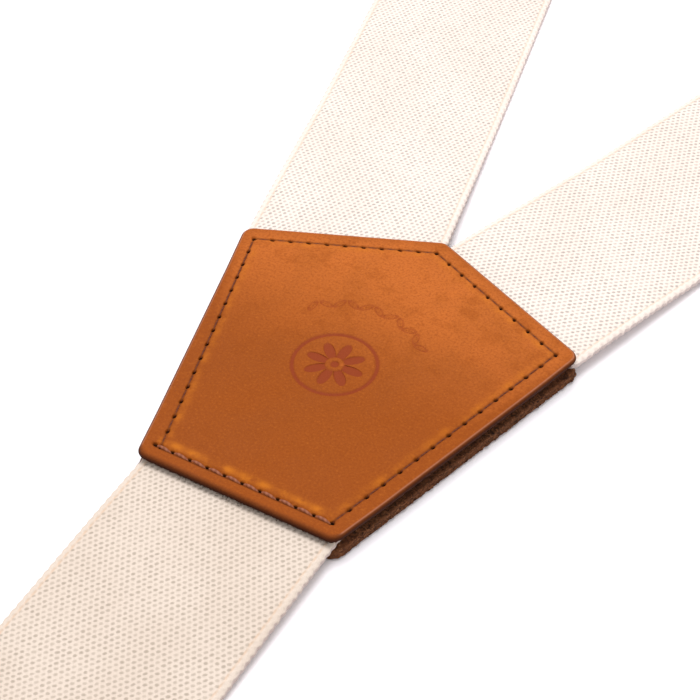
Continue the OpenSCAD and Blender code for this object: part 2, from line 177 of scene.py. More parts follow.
def patch_leather():
    """Cognac pull-up leather: waxed, lightly sanded and matt, with a cloudy tone and dark burnished edges.

    The wax clouds are about 16 mm across and break into patches of 3 mm. The real nap and pores are 0.1 to
    0.2 mm, and are drawn 0.4 and 0.7 mm so that they show."""
    material, add = new_material("cognac_pull_up_leather")
    place = add("TexCoord").outputs["Object"]
    cloud = add("TexNoise", {"Vector": place, "Scale": cells(16.13), "Detail": 4.0, "Roughness": 0.55,
                             "Distortion": 0.5})
    patches = add("TexNoise", {"Vector": place, "Scale": cells(3.03), "Detail": 5.0, "Roughness": 0.6})
    nap = add("TexNoise", {"Vector": place, "Scale": cells(0.4348), "Detail": 3.0, "Roughness": 0.7})
    clouded = add("MapRange", {"Value": cloud, "From Min": 0.34, "From Max": 0.66},
                  interpolation_type="SMOOTHSTEP")
    base = add("Mix", {0: clouded, 6: linear("#a8581b"), 7: linear("#c0672a")}, data_type="RGBA")
    # darker within 2.4 mm of the rim and towards the patch's lower side; the darkening towards the lower side
    # is painted shade
    rim_dark_and_low_shade = add("Attribute", attribute_name="rim_dark_and_low_shade").outputs["Fac"]
    # each tint: what drives it, from which value to which, how strong it is at both, and its colour
    for drive, low, high, at_low, at_high, tint in (
            (patches, 0.36, 0.62, 0.0, 0.6, "#b56026"), (patches, 0.50, 0.34, 0.0, 0.35, "#94460f"),
            (rim_dark_and_low_shade, 0.0, 1.0, 0.0, 0.85, "#89410a"),
            (nap, 0.30, 0.56, 0.48, 0.0, "#7f3a0c"), (nap, 0.52, 0.85, 0.0, 0.30, "#d27a2c")):
        amount = add("MapRange", {"Value": drive, "From Min": low, "From Max": high, "To Min": at_low,
                                  "To Max": at_high},
                     interpolation_type="LINEAR" if drive is rim_dark_and_low_shade else "SMOOTHSTEP")
        base = add("Mix", {0: amount, 6: base, 7: linear(tint)}, data_type="RGBA")
    waxed = add("MapRange", {"Value": patches, "From Min": 0.38, "From Max": 0.60, "To Min": 0.08,
                             "To Max": 0.62}, interpolation_type="SMOOTHSTEP")
    # the marks that the mesh carries at each point: the pale wax by the seam, a thin painted highlight inside
    # the rim, the burnished rim, the pressed ornament and the painted shade in the holes
    for mark, strength, tint in (("glow", waxed, "#cb7418"), ("painted_rim_highlight", 0.34, "#b88a76"),
                                 ("rim", 0.94, "#260c05"), ("burn", 0.85, "#84351a"),
                                 ("hole", 0.98, "#1c0a04")):
        amount = add("Math", {0: add("Attribute", attribute_name=mark).outputs["Fac"], 1: strength},
                     operation="MULTIPLY")
        base = add("Mix", {0: amount, 6: base, 7: linear(tint)}, data_type="RGBA")
    pores = add("TexVoronoi", {"Vector": place, "Scale": cells(0.6667), "Randomness": 1.0},
                feature="DISTANCE_TO_EDGE")
    pored = add("MapRange", {"Value": pores, "From Min": 0.0, "From Max": 0.25, "To Min": 0.0,
                             "To Max": 0.4}, interpolation_type="SMOOTHSTEP")
    relief = add("Math", {0: nap, 1: 1.1, 2: pored}, operation="MULTIPLY_ADD")
    relief = add("Math", {0: relief, 1: patches}, operation="ADD")
    bump = add("Bump", {"Height": relief, "Strength": 0.40, "Distance": 0.12 * MM})
    rough = add("MapRange", {"Value": cloud, "From Min": 0.3, "From Max": 0.7, "To Min": 0.62,
                             "To Max": 0.74}, interpolation_type="SMOOTHSTEP")
    shader = add("BsdfPrincipled", {"Base Color": base, "Roughness": rough, "Normal": bump,
                                    "IOR": 1.46, "Specular IOR Level": 0.11})
    add("OutputMaterial", {"Surface": shader})
    return material


def raw_leather():
    """Vegetable-tanned split with cut edges: brown, hairy and dull, with pale fibres standing out of it.

    Bundles of fibre are 0.8 mm long and the tone changes over 4 mm."""
    material, add = new_material("brown_split_leather")
    place = add("TexCoord").outputs["Object"]
    stretched = add("Mapping", {"Vector": place, "Scale": (1.0, 1.0, 2.2)})
    fibres = add("TexNoise", {"Vector": stretched, "Scale": cells(0.7692), "Detail": 6.0, "Roughness": 0.75,
                              "Distortion": 1.2})
    cloud = add("TexNoise", {"Vector": place, "Scale": cells(3.846), "Detail": 3.0})
    lit = add("MapRange", {"Value": fibres, "From Min": 0.36, "From Max": 0.66},
              interpolation_type="SMOOTHSTEP")
    clouded = add("MapRange", {"Value": cloud, "From Min": 0.35, "From Max": 0.7, "To Max": 0.4},
                  interpolation_type="SMOOTHSTEP")
    standing = add("MapRange", {"Value": fibres, "From Min": 0.60, "From Max": 0.72},
                   interpolation_type="SMOOTHSTEP")
    base = linear("#210e07")
    for amount, tint in ((lit, "#8c5836"), (clouded, "#6e3d22"), (standing, "#c49a78")):
        base = add("Mix", {0: amount, 6: base, 7: linear(tint)}, data_type="RGBA")
    bump = add("Bump", {"Height": fibres, "Strength": 1.0, "Distance": 0.3 * MM})
    shader = add("BsdfPrincipled", {"Base Color": base, "Roughness": 0.9, "Normal": bump,
                                    "Specular IOR Level": 0.2})
    add("OutputMaterial", {"Surface": shader})
    return material


def elastic_webbing(name, ground, lit_ground, deep_ground, gap_colour):
    """Woven elastic: yarn floats in staggered rows, with small dull gaps where the rubber shows between.

    Its uv is in millimetres. The yarn is 0.2 mm thick, and the rows wander by up to a third of a gap."""
    material, add = new_material(name)
    gap_pitch = 1.0  # mm across the strap, from gap to gap in one row
    row_pitch = 0.8  # mm along the strap, from row to row; every other row is half a gap over
    uv = add("UVMap", uv_map="weave").outputs["UV"]
    wobble = add("TexNoise", {"Vector": uv, "Scale": 1 / 1.111, "Detail": 3.0}, noise_dimensions="2D")
    wander = add("VectorMath", {0: wobble.outputs["Color"], 1: (0.5, 0.5, 0.5)}, operation="SUBTRACT")
    drift = add("VectorMath", {0: wander, "Scale": 0.34}, operation="SCALE")
    moved = add("SeparateXYZ", {0: add("VectorMath", {0: uv, 1: drift}, operation="ADD")})
    across, along = moved.outputs["X"], moved.outputs["Y"]

    # where each point lies in its row and in its gap, from -0.5 to 0.5
    rows = add("Math", {0: along, 1: row_pitch}, operation="DIVIDE")
    row = add("Math", {0: rows}, operation="FLOOR")
    in_row = add("Math", {0: add("Math", {0: rows}, operation="FRACT"), 1: 0.5}, operation="SUBTRACT")
    odd = add("Math", {0: add("Math", {0: row, 1: 2.0}, operation="MODULO"), 1: 0.5}, operation="MULTIPLY")
    gaps_across = add("Math", {0: across, 1: gap_pitch}, operation="DIVIDE")
    gaps = add("Math", {0: gaps_across, 1: odd}, operation="ADD")
    in_gap = add("Math", {0: add("Math", {0: gaps}, operation="FRACT"), 1: 0.5}, operation="SUBTRACT")
    leaning = add("Math", {0: in_row, 1: -0.22, 2: in_gap}, operation="MULTIPLY_ADD")

    # an oval gap in each cell, some stronger than others, and hardly any at the selvedge
    ovals = []
    for offset, half_size in ((leaning, 0.30), (in_row, 0.39)):
        size = add("Math", {0: offset}, operation="ABSOLUTE")
        share = add("Math", {0: size, 1: half_size}, operation="DIVIDE")
        ovals.append(add("Math", {0: share, 1: 2.0}, operation="POWER"))
    oval = add("Math", {0: ovals[0], 1: ovals[1]}, operation="ADD")
    gap = add("MapRange", {"Value": oval, "From Min": 1.30, "From Max": 0.0},
              interpolation_type="SMOOTHSTEP")
    cell = add("CombineXYZ", {0: add("Math", {0: gaps}, operation="FLOOR"), 1: row})
    chance = add("TexWhiteNoise", {"Vector": cell}, noise_dimensions="2D").outputs["Value"]
    strength = add("Math", {0: chance, 1: 0.5, 2: 0.62}, operation="MULTIPLY_ADD")
    gap = add("Math", {0: gap, 1: strength}, operation="MULTIPLY")
    from_middle = add("Math", {0: across}, operation="ABSOLUTE")
    edge_at = add("Math", {0: STRAP_W / 2, 1: from_middle}, operation="SUBTRACT")
    selvedge = add("MapRange", {"Value": edge_at, "From Min": 1.35, "From Max": 1.1},
                   interpolation_type="SMOOTHSTEP")
    away = add("Math", {0: selvedge, 1: -0.75, 2: 1.0}, operation="MULTIPLY_ADD")
    body_gap = add("Math", {0: gap, 1: away}, operation="MULTIPLY")

    # the line of warp beside the selvedge, beaten in at every row
    beating = add("Math", {0: along, 1: pi / (2 * row_pitch)}, operation="MULTIPLY")
    beat = add("Math", {0: add("Math", {0: beating}, operation="SINE")}, operation="ABSOLUTE")
    off_line = add("Math", {0: edge_at, 1: 1.15}, operation="SUBTRACT")
    off_line = add("Math", {0: off_line}, operation="ABSOLUTE")
    line = add("MapRange", {"Value": off_line, "From Min": 0.30, "From Max": 0.05},
               interpolation_type="SMOOTHSTEP")
    beaten = add("Math", {0: beat, 1: 0.7, 2: 0.3}, operation="MULTIPLY_ADD")
    line = add("Math", {0: line, 1: beaten}, operation="MULTIPLY")

    yarn = add("TexNoise", {"Vector": uv, "Scale": 1 / 0.2, "Detail": 4.0, "Roughness": 0.7},
               noise_dimensions="2D")
    shade = add("TexNoise", {"Vector": uv, "Scale": 1 / 14.29, "Detail": 3.0}, noise_dimensions="2D")
    lit = add("MapRange", {"Value": yarn, "From Min": 0.3, "From Max": 0.7}, interpolation_type="SMOOTHSTEP")
    deep = add("MapRange", {"Value": shade, "From Min": 0.35, "From Max": 0.65, "To Max": 0.35},
               interpolation_type="SMOOTHSTEP")
    line_shade = add("Math", {0: line, 1: 0.42}, operation="MULTIPLY")
    gap_shade = add("Math", {0: body_gap, 1: 0.58}, operation="MULTIPLY")
    # the strap's thickness side at the selvedge is tinted mauve grey: painted shade
    painted_selvedge_shade = add("MapRange", {"Value": edge_at, "From Min": 0.16, "From Max": 0.02, "To Max": 0.55},
                     interpolation_type="SMOOTHSTEP")
    base = linear(ground)
    for amount, tint in ((lit, lit_ground), (deep, deep_ground), (line_shade, "#d3aa86"),
                         (gap_shade, gap_colour), (painted_selvedge_shade, "#a3908f")):
        base = add("Mix", {0: amount, 6: base, 7: linear(tint)}, data_type="RGBA")

    floats = add("Math", {0: add("Math", {0: in_gap, 1: 2 * pi}, operation="MULTIPLY")}, operation="COSINE")
    dent = add("Math", {0: beat, 1: 1.0}, operation="SUBTRACT")
    cord = add("Math", {0: selvedge, 1: dent}, operation="MULTIPLY")
    height = 0.0
    for relief, amount in ((floats, -0.25), (body_gap, -1.0), (cord, 0.6), (yarn, 0.35)):
        height = add("Math", {0: relief, 1: amount, 2: height}, operation="MULTIPLY_ADD")
    bump = add("Bump", {"Height": height, "Strength": 0.55, "Distance": 0.2 * MM})
    shader = add("BsdfPrincipled", {"Base Color": base, "Roughness": 0.85, "Normal": bump,
                                    "Specular IOR Level": 0.2, "Sheen Weight": 0.08,
                                    "Sheen Roughness": 0.4})
    add("OutputMaterial", {"Surface": shader})
    return material


def waxed_thread(name, dark, light):
    """Waxed polyester thread of two twisted plies: a soft shine, a slanting twist and fuzz 0.14 mm long."""
    material, add = new_material(name)
    uv = add("UVMap", uv_map="weave").outputs["UV"]
    parts = add("SeparateXYZ", {0: uv})
    round_thread = add("Math", {0: parts.outputs["X"], 1: 2 * pi}, operation="MULTIPLY")
    twist = add("Math", {0: parts.outputs["Y"], 1: 7.0, 2: round_thread}, operation="MULTIPLY_ADD")
    crest = add("Math", {0: twist}, operation="SINE")
    ply = add("Math", {0: crest, 1: 0.5, 2: 0.5}, operation="MULTIPLY_ADD")
    fuzz = add("TexNoise", {"Vector": uv, "Scale": 1 / 0.1429, "Detail": 3.0})
    lit = add("Math", {0: ply, 1: 0.45}, operation="MULTIPLY")
    lit = add("Math", {0: fuzz, 1: 0.65, 2: lit}, operation="MULTIPLY_ADD")
    base = add("Mix", {0: lit, 6: linear(dark), 7: linear(light)}, data_type="RGBA")
    bump = add("Bump", {"Height": ply, "Strength": 0.4, "Distance": 0.05 * MM})
    shader = add("BsdfPrincipled", {"Base Color": base, "Roughness": 0.55, "Normal": bump,
                                    "Specular IOR Level": 0.2})
    add("OutputMaterial", {"Surface": shader})
    return material


def nickel_plate():
    """Nickel-plated pressed steel: warm grey metal, barrelled to a soft polish with fine hairlines.

    The hairlines start at 1.1 mm and their last detail is 0.03 mm; the smudges are 11 mm across."""
    material, add = new_material("nickel_plated_steel")
    place = add("TexCoord").outputs["Object"]
    hairline = add("TexNoise", {"Vector": place, "Scale": cells(1.1111), "Detail": 5.0, "Roughness": 0.7,
                                "Distortion": 0.6})
    smudge = add("TexNoise", {"Vector": place, "Scale": cells(11.111), "Detail": 3.0})
    lit = add("MapRange", {"Value": smudge, "From Min": 0.3, "From Max": 0.7},
              interpolation_type="SMOOTHSTEP")
    base = add("Mix", {0: lit, 6: linear("#bfbbb3"), 7: linear("#cdc9c1")}, data_type="RGBA")
    smudged = add("MapRange", {"Value": smudge, "From Min": 0.3, "From Max": 0.7, "To Min": 0.24,
                               "To Max": 0.31}, interpolation_type="SMOOTHSTEP")
    brushed = add("MapRange", {"Value": hairline, "From Min": 0.4, "From Max": 0.7, "To Max": 0.05},
                  interpolation_type="SMOOTHSTEP")
    rough = add("Math", {0: smudged, 1: brushed}, operation="ADD")
    bump = add("Bump", {"Height": hairline, "Strength": 0.08, "Distance": 0.03 * MM})
    shader = add("BsdfPrincipled", {"Base Color": base, "Metallic": 1.0, "Roughness": rough,
                                    "Normal": bump})
    add("OutputMaterial", {"Surface": shader})
    return material


def spring_wire():
    """Oil-hardened spring wire: darker steel with drawing lines, drawn 0.7 mm apart so that they show."""
    material, add = new_material("spring_steel_wire")
    place = add("TexCoord").outputs["Object"]
    lines = add("TexNoise", {"Vector": place, "Scale": cells(0.6667), "Detail": 4.0})
    lit = add("MapRange", {"Value": lines, "From Min": 0.3, "From Max": 0.7},
              interpolation_type="SMOOTHSTEP")
    base = add("Mix", {0: lit, 6: linear("#77736c"), 7: linear("#a09c94")}, data_type="RGBA")
    rough = add("MapRange", {"Value": lines, "From Min": 0.3, "From Max": 0.7, "To Min": 0.28,
                             "To Max": 0.42}, interpolation_type="SMOOTHSTEP")
    shader = add("BsdfPrincipled", {"Base Color": base, "Metallic": 1.0, "Roughness": rough})
    add("OutputMaterial", {"Surface": shader})
    return material


def jaw_nylon():
    """Moulded natural nylon 66: milky, slightly waxy, with a spark-eroded mould skin.

    The skin's real grit is 0.05 mm, which is this pattern's last detail."""
    material, add = new_material("natural_nylon")
    place = add("TexCoord").outputs["Object"]
    skin = add("TexNoise", {"Vector": place, "Scale": cells(0.4545), "Detail": 4.0})
    cloud = add("TexNoise", {"Vector": place, "Scale": cells(5.556), "Detail": 2.0})
    milky = add("MapRange", {"Value": cloud, "From Min": 0.3, "From Max": 0.7},
                interpolation_type="SMOOTHSTEP")
    base = add("Mix", {0: milky, 6: linear("#e3dccb"), 7: linear("#efeadf")}, data_type="RGBA")
    bump = add("Bump", {"Height": skin, "Strength": 0.3, "Distance": 0.06 * MM})
    shader = add("BsdfPrincipled", {"Base Color": base, "Roughness": 0.42, "IOR": 1.53,
                                    "Subsurface Weight": 0.15, "Subsurface Scale": 2 * MM,
                                    "Normal": bump})
    add("OutputMaterial", {"Surface": shader})
    return material


COGNAC = patch_leather()
SPLIT = raw_leather()
FRONT_WEBBING = elastic_webbing("cream_woven_elastic", "#e8d9cf", "#f1e3da", "#e5d3c8", "#7f7470")
# the back strap's webbing is a darker copy of the same cream webbing: painted shade, as it lies further from
# the key light
SHADED_BACK_WEBBING = elastic_webbing("shaded_cream_woven_elastic", "#d5c5b7", "#dfcfc2", "#d1bfb0", "#968877")
BROWN_THREAD = waxed_thread("brown_waxed_thread", "#6a341f", "#a4654a")
DARK_THREAD = waxed_thread("dark_waxed_thread", "#43190a", "#74351a")
CREAM_THREAD = waxed_thread("cream_polyester_thread", "#d8c4b2", "#f3e9de")
NICKEL = nickel_plate()
WIRE = spring_wire()
NYLON = jaw_nylon()


def dress(piece, material):
    piece.data.materials.clear()
    piece.data.materials.append(material)
    return piece


# ---- the patch's outline ----


def edge_lines():
    """For each side of the patch: its first corner, direction, inward normal and length."""
    rows = []
    for i, start in enumerate(PATCH_CORNERS):
        step = PATCH_CORNERS[(i + 1) % len(PATCH_CORNERS)] - start
        length = np.hypot(*step)
        along = step / length
        rows.append((start, along, np.array([along[1], -along[0]]), length))
    return rows


EDGES = edge_lines()


def corner_centre(i, inset):
    """The point at the given distance inside both sides that meet at corner i."""
    _, before, in_before, _ = EDGES[i - 1]
    start, after, in_after, _ = EDGES[i]
    half = acos(np.clip(np.dot(-before, after), -1, 1)) / 2
    bisector = in_before + in_after
    return start + bisector / np.hypot(*bisector) * inset / sin(half)


def patch_outline(count):
    """The rounded outline as evenly spaced points, clockwise from the left side corner."""
    points = []
    for i in range(len(PATCH_CORNERS)):
        centre = corner_centre(i, CORNER_R)
        first = -EDGES[i - 1][2] * CORNER_R
        last = -EDGES[i][2] * CORNER_R
        start, end = atan2(first[1], first[0]), atan2(last[1], last[0])
        sweep = (end - start + pi) % (2 * pi) - pi
        points += [centre + CORNER_R * np.array([cos(start + sweep * k / 16), sin(start + sweep * k / 16)])
                   for k in range(17)]
    points = np.array(points + points[:1])
    run = np.concatenate([[0], np.cumsum(np.hypot(*np.diff(points, axis=0).T))])
    at = np.arange(count) * run[-1] / count
    return np.stack([np.interp(at, run, points[:, k]) for k in (0, 1)], axis=1)


def edge_distance(p):
    """Distance from each point to the patch's rounded outline, and the nearest side's number."""
    to_sides = np.stack([(p - start) @ inward for start, _, inward, _ in EDGES], axis=1)
    nearest = to_sides.argmin(axis=1)
    distance = to_sides.min(axis=1)
    for i in range(len(PATCH_CORNERS)):
        out = p - corner_centre(i, CORNER_R)
        beyond = (out @ EDGES[i - 1][1] > 0) & (out @ EDGES[i][1] < 0)
        rounded = CORNER_R - np.hypot(out[:, 0], out[:, 1])
        distance = np.where(beyond & (distance < CORNER_R), np.minimum(distance, rounded), distance)
    return distance, nearest, to_sides


LOWER_SIDE = 3
ROW_SHIFTS = np.array([(-0.5, -0.2), (0, 0), (0, 0), (0.1, 0), (0.3, 0)])
ROW_OVERRUN = 1.0
HOLE_SLANTS = (0.45, 0.8, 0.15, 0.1, 0.2)


def stitch_rows():
    """For each side: where its row of holes starts, its direction, the hole pitch and the stitch count."""
    rows = []
    corners = [corner_centre(i, STITCH_INSET) + ROW_SHIFTS[i] for i in range(len(PATCH_CORNERS))]
    for i, count in enumerate(STITCH_COUNTS):
        a, b = corners[i], corners[(i + 1) % len(corners)]
        length = np.hypot(*(b - a))
        overrun = ROW_OVERRUN if i == LOWER_SIDE else 0.0
        rows.append((a, (b - a) / length, (length + overrun) / count, count))
    return rows


STITCHES = stitch_rows()

ORNAMENT_AT = np.array([-1.2, -1.5])
RING_R = 7.0
RING_HALF = 0.45
PETALS = 8
LEAF_COUNT = 5
LEAF_STEP = 9.0
LEAF_ARC_R = 14.6
LEAF_LEAN = 40.0
LEAF_HALF_L = 1.15
LEAF_HALF_W = 0.48


def fade(x, width):
    return np.exp(-(x / width) ** 2)


def ornament(p):
    """A generic pressed ornament: a ring round an eight-petalled rosette under an arc of small leaves."""
    q = p - ORNAMENT_AT
    r, a = np.hypot(q[:, 0], q[:, 1]), np.arctan2(q[:, 1], q[:, 0])
    ring = smooth((RING_HALF - np.abs(r - RING_R)) / 0.25)
    petal_edge = 1.3 + 4.0 * np.abs(np.cos(PETALS / 2 * a)) ** 0.8
    petals = smooth((petal_edge - r) / 0.3) * smooth((r - 1.45) / 0.25)
    heart = smooth((0.85 - r) / 0.25)
    dark = np.maximum.reduce([ring, petals, heart])
    leaves = np.zeros(len(p))
    for k in range(-LEAF_COUNT, LEAF_COUNT + 1):
        turn = radians(LEAF_STEP * k)
        at = ORNAMENT_AT + LEAF_ARC_R * np.array([sin(turn), cos(turn)])
        lean = -turn + radians(LEAF_LEAN if k % 2 else -LEAF_LEAN)
        u = (p - at) @ np.array([cos(lean), sin(lean)])
        v = (p - at) @ np.array([-sin(lean), cos(lean)])
        leaf = np.hypot(u / LEAF_HALF_L, v / LEAF_HALF_W) - 1
        vein = smooth((0.10 - np.abs(v)) / 0.10) * smooth((0.9 - np.abs(u)) / 0.2)
        leaves = np.maximum.reduce([leaves, smooth((0.34 - np.abs(leaf)) / 0.26), vein])
    return dark, leaves


EDGE_ROUND = 0.75
FREE_SIDES = (2, 4)
BACK_EDGE_ROUND = 0.35
EDGE_CURVE = 0.98  # under 1, so that the rounded edge doesn't end in an upright face
DRAWN_IN = 0.65
EDGE_DROP = 0.30  # how far the front face dips where the leathers are drawn together
HOLE_DEPTH = 0.95
PRESS_DEPTH = 0.16
MARKS = ("hole", "glow", "burn", "rim", "painted_rim_highlight", "rim_dark_and_low_shade")
PATCH_MIDDLE = np.array([0.0, -1.0])


def pinch(p):
    """How far the leathers are drawn together at each point: along the free sides, between the corners."""
    drawn = np.zeros(len(p))
    for i in FREE_SIDES:
        start, along, inward, length = EDGES[i]
        share = np.clip((p - start) @ along / length, 0, 1)
        drawn = np.maximum(drawn, smooth(np.sin(pi * share) * 1.6) * smooth((6 - (p - start) @ inward) / 3))
    return drawn


def front_leather_relief(p):
    """How far the front face lies below its flat top at each point, with the marks that colour it."""
    distance, _, to_sides = edge_distance(p)
    depth = np.zeros(len(p))
    hole, glow, line = np.zeros(len(p)), np.zeros(len(p)), np.zeros(len(p))
    for i, (start, along, pitch, count) in enumerate(STITCHES):
        across = np.array([along[1], -along[0]])
        off, travel = (p - start) @ across, (p - start) @ along
        inside = smooth((travel + 0.4) / 0.6) * smooth((count * pitch + 0.4 - travel) / 0.6)
        to_hole = travel - np.clip(np.round(travel / pitch), 0, count) * pitch
        lower = i == LOWER_SIDE
        # the groove that the thread lies in, and the softer dip that its pull makes round it
        deep, wide = (0.34, 0.50) if lower else (0.16, 0.26)
        depth = np.maximum(depth, deep * fade(off, wide) * inside)
        depth = np.maximum(depth, 0.08 * fade(off, 1.1) * inside)
        # the awl's holes, longer than they are wide and turned off the row
        c, s = cos(HOLE_SLANTS[i]), sin(HOLE_SLANTS[i])
        long, short = (0.46, 0.30) if lower else (0.42, 0.27)
        pit = fade(to_hole * c + off * s, long) * fade(off * c - to_hole * s, short)
        depth = np.maximum(depth, HOLE_DEPTH * pit)
        # the holes are painted near black: painted shade in the pits
        hole = np.maximum(hole, smooth(pit * 2.4 - 0.5))
        # the dark line of the thread, which on the lower row lies at the groove's outer edge as painted
        # shade, and the wax pushed up pale on its inner side
        beside = fade(off + 0.42, 0.20) if lower else fade(off, 0.24)
        line = np.maximum(line, beside * inside * (0.62 if lower else 0.55))
        inner = 1.15 if lower else 0.75
        strong = 1.0 if lower else 0.6
        near_hole = 0.35 + 0.65 * fade(to_hole, 1.1)
        glow = np.maximum(glow, strong * fade(off - inner, 0.70) * inside * near_hole)
    dark, leaves = ornament(p)
    depth = depth + PRESS_DEPTH * dark + PRESS_DEPTH * leaves
    edge = np.clip((EDGE_ROUND - distance) / EDGE_ROUND, 0, 1)
    depth = depth + EDGE_ROUND * (1 - np.sqrt(1 - edge ** 2 * EDGE_CURVE))
    # the rim is burnished dark, and along the lower side the dark reaches 1.2 mm in; a thin painted highlight
    # lies just inside it, except along the lower side
    low_edge = smooth((2.2 - to_sides[:, LOWER_SIDE]) / 1.2)
    rim_width = 0.42 + 0.78 * low_edge
    # the rim takes in that line, with the lower row's painted groove shade
    rim = np.maximum(np.clip((rim_width - distance) / rim_width, 0, 1) ** (0.55 + 0.8 * low_edge), line)
    painted_rim_highlight = fade(distance - 0.44, 0.12) * (1 - low_edge)
    # darker within 2.4 mm of the rim, and painted shade that darkens the patch towards its lower side
    rim_dark_and_low_shade = np.clip(smooth((2.4 - distance) / 2.4) * 0.45 + smooth((27 - p[:, 1]) / 36), 0, 1)
    depth = depth + EDGE_DROP * pinch(p) * smooth((4.5 - distance) / 4.5)
    return depth, (hole, glow, np.maximum(dark, 0.6 * leaves), rim, painted_rim_highlight, rim_dark_and_low_shade)


def back_leather_relief(p):
    """The back leather's plain face with a slightly rounded edge, and no marks."""
    distance, _, _ = edge_distance(p)
    edge = np.clip((BACK_EDGE_ROUND - distance) / BACK_EDGE_ROUND, 0, 1)
    return BACK_EDGE_ROUND * (1 - np.sqrt(1 - edge ** 2 * EDGE_CURVE)), [np.zeros(len(p))] * len(MARKS)


STITCH_BAND = 0.12  # share of the way in from the edge that the stitches and their holes lie in
EDGE_BAND = 0.04


def hide(name, bottom, top, relief, rings, side, lip=0.0, around=1100, seed=7):
    """A leather piece: a fine face from its middle to its edge, a cut side and a plain underside.

    side lists, from the face's edge down, how far out the cut side stands and how ragged it is; lip is how
    far its foot hangs where the leathers are drawn together."""
    outline = patch_outline(around)
    middle = PATCH_MIDDLE
    shares = np.concatenate([
        np.linspace(0.02, 1 - STITCH_BAND, rings),
        1 - np.linspace(STITCH_BAND, EDGE_BAND, 44)[1:],
        1 - np.linspace(EDGE_BAND, 0.0, 22)[1:],
    ])
    flat = np.concatenate([middle + s * (outline - middle) for s in shares])
    depth, values = relief(flat)
    points = [np.column_stack([flat, top - depth])]
    values = [[v] for v in values]
    edge_top = points[0][-around:, 2]
    outward = np.roll(outline, -2, axis=0) - np.roll(outline, 2, axis=0)
    outward = np.column_stack([-outward[:, 1], outward[:, 0]])
    outward /= np.hypot(*outward.T)[:, None]
    random = np.random.default_rng(seed)
    for k, (out, ragged) in enumerate(side):
        share = (k + 1) / len(side)
        rough = random.normal(0, 1, around)
        rough = ragged * (rough + np.roll(rough, 1) + np.roll(rough, 2)) / 1.7
        ring = outline + outward * (out + rough)[:, None]
        foot = bottom - lip * pinch(outline)
        points.append(np.column_stack([ring, edge_top + (foot - edge_top) * share]))
        for mark, v in zip(MARKS, values):
            v.append(np.full(around, 1.0 if mark == "rim" else 0.0))
    for share in (0.96, 0.6, 0.2):
        ring = middle + share * (outline - middle)
        points.append(np.column_stack([ring, np.full(around, bottom)]))
        for v in values:
            v.append(np.zeros(around))
    points = np.vstack(points)
    rows = len(points) // around
    faces = grid_faces(rows, around, True)
    points = np.vstack([points, [*middle, top - relief(middle[None])[0][0]], [*middle, bottom]])
    tip, foot = len(points) - 2, len(points) - 1
    faces += [(tip, (c + 1) % around, c) for c in range(around)]
    last = (rows - 1) * around
    faces += [(foot, last + c, last + (c + 1) % around) for c in range(around)]
    attributes = {mark: np.concatenate([*v, [0.0, 0.0]]) for mark, v in zip(MARKS, values)}
    return mesh_object(name, points, faces, attributes=attributes)


FRONT_RINGS = 120  # enough for the stitches, their holes and the pressed ornament
BACK_RINGS = 12
FRONT_SIDE = ((-0.06, 0.01), (-0.25, 0.04), (-0.45, 0.07), (-0.58, 0.09), (-0.75, 0.09))
BACK_SIDE = ((0.05, 0.05), (0.12, 0.09), (0.16, 0.11), (0.14, 0.11),
             (0.10, 0.10), (0.02, 0.08), (-0.12, 0.05))

front_hide = dress(hide("front_leather_hide", FRONT_LEATHER_Z, PATCH_TOP, front_leather_relief, FRONT_RINGS,
                        FRONT_SIDE, DRAWN_IN), COGNAC)
back_hide = dress(hide("back_leather_hide", 0.0, BACK_LEATHER_T, back_leather_relief, BACK_RINGS,
                       BACK_SIDE), SPLIT)


FIBRE_L = (0.35, 0.95)
FIBRE_HALF_W = (0.03, 0.06)
FIBRE_LIFT = 0.04
FIBRE_ROOT = 0.62  # how far inside the edge each fibre starts
KNEE = 0.55  # share of its length where a fibre bends
KNEE_TAPER = 0.7


def edge_fibres(name, seed=11, count=900):
    """Loose fibres that stand out of the cut edges between the two leathers."""
    random = np.random.default_rng(seed)
    outline = patch_outline(4000)
    free = pinch(outline) > 0.02
    chosen = np.concatenate([random.choice(np.flatnonzero(free), count * 2 // 3),
                             random.choice(np.flatnonzero(outline[:, 1] < 0.02 - PATCH_BASE), count // 14)])
    middle = PATCH_MIDDLE
    points, faces = [], []
    for i in chosen:
        out = outline[i] - middle
        out = out / np.hypot(*out)
        on_front = random.random() < 0.55 or not free[i]
        z = FRONT_LEATHER_Z + 0.25 if on_front else BACK_LEATHER_T - 0.2
        base = np.array([*(outline[i] - out * FIBRE_ROOT), z + random.uniform(-0.35, 0.25)])
        aim = np.array([*(out + random.normal(0, 0.7, 2)), random.normal(-0.25, 0.35)])
        aim = aim / np.linalg.norm(aim) * random.uniform(*FIBRE_L)
        side = np.cross(aim, [0.2, 0.3, 1.0])
        side = side / np.linalg.norm(side) * random.uniform(*FIBRE_HALF_W)
        lift = np.cross(side, aim)
        lift = lift / np.linalg.norm(lift) * FIBRE_LIFT
        bend = random.normal(0, 0.10, 3)
        knee = base + aim * KNEE + bend
        first = len(points)
        points += [base - side, base + side, base + lift, knee - side * KNEE_TAPER,
                   knee + side * KNEE_TAPER, knee + lift * KNEE_TAPER, base + aim]
        faces += [(first, first + 1, first + 2)]
        faces += [(first + a, first + 3 + a, first + 3 + b, first + b) for a, b in ((0, 1), (1, 2), (2, 0))]
        faces += [(first + 3 + a, first + 6, first + 3 + b) for a, b in ((0, 1), (1, 2), (2, 0))]
    points = np.array(points)
    points[:, 2] = np.maximum(points[:, 2], 0.05)
    return mesh_object(name, points, faces)


fibres = dress(edge_fibres("leather_edge_fibres"), SPLIT)
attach(fibres, "root")
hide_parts("back_leather")
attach(front_hide, "root")
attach(back_hide, "root")
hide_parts("front_leather")
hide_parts("back_leather")

# ---- stitching ----


